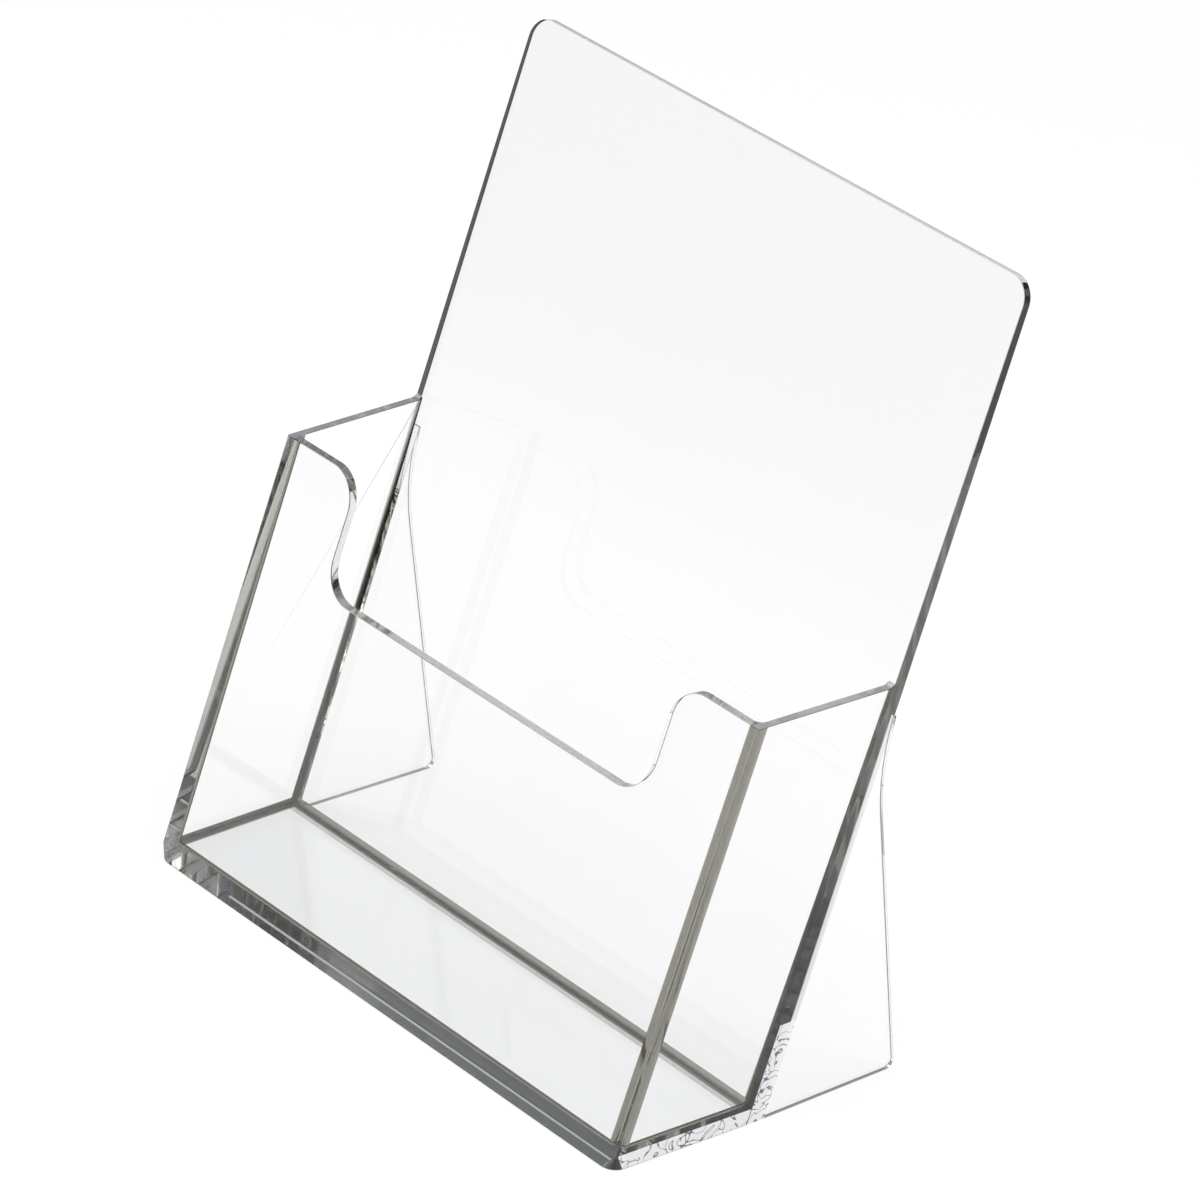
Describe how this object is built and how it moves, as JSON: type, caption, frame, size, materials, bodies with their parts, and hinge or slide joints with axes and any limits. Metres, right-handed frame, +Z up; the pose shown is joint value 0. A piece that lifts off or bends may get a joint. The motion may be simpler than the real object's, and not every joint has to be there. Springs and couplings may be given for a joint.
{
  "type": "magazine rack",
  "caption": "Clear acrylic countertop magazine rack with a leaning back panel, an open pocket with a finger cut-out, and rear legs.",
  "frame": {"origin": "middle of the rack's footprint box, on the table", "axes": "+Z up, along the rack's height; +Y towards the back, where the back panel leans and the rear legs stand; +X the rack's right-hand side seen from in front"},
  "size_m": [0.2322, 0.132, 0.2815],
  "materials": {
    "clear_acrylic_base": "clear, polished",
    "clear_acrylic_back": "clear, polished",
    "clear_acrylic_front": "clear, polished",
    "clear_acrylic_wall": "clear, polished",
    "clear_acrylic_leg": "clear, polished"
  },
  "bodies": {
    "root": {"base_slab": "clear_acrylic_base", "back_panel": "clear_acrylic_back", "front_panel": "clear_acrylic_front", "left_side_wall": "clear_acrylic_wall", "right_side_wall": "clear_acrylic_wall", "left_rear_leg": "clear_acrylic_leg", "right_rear_leg": "clear_acrylic_leg"}
  },
  "joints": []
}
